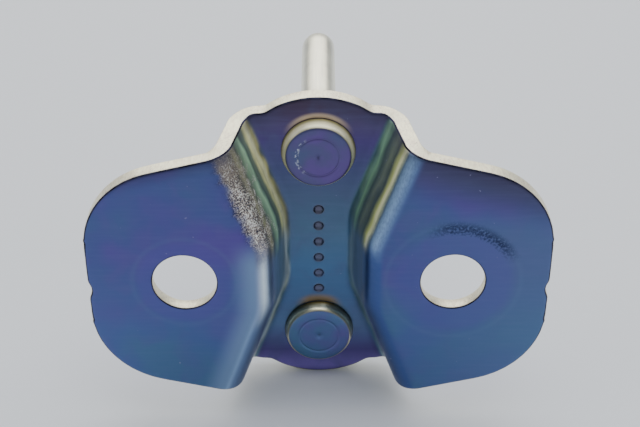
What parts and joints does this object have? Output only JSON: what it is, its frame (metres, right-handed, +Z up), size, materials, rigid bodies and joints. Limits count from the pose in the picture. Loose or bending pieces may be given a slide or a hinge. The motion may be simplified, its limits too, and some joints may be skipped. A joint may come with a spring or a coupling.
{
  "type": "latch striker",
  "caption": "Latch striker: stamped mounting plate with bolt holes and a waisted channel, carrying a riveted round-bar loop that a latch claw closes on.",
  "frame": {"origin": "midway between the centres of the two mounting holes, on the mounting face of the wings", "axes": "+X along the line of the mounting holes, +Y away from the mounting face towards the loop, +Z up along the plane of the loop"},
  "size_m": [0.0792, 0.062, 0.0588],
  "materials": {
    "plate_zinc": "zinc plated and passivated, satin, with a blue, violet and teal bloom",
    "loop_steel": "zinc plated, smooth bright satin"
  },
  "bodies": {
    "root": {"striker_plate": "plate_zinc", "striker_loop": "loop_steel"}
  },
  "joints": []
}
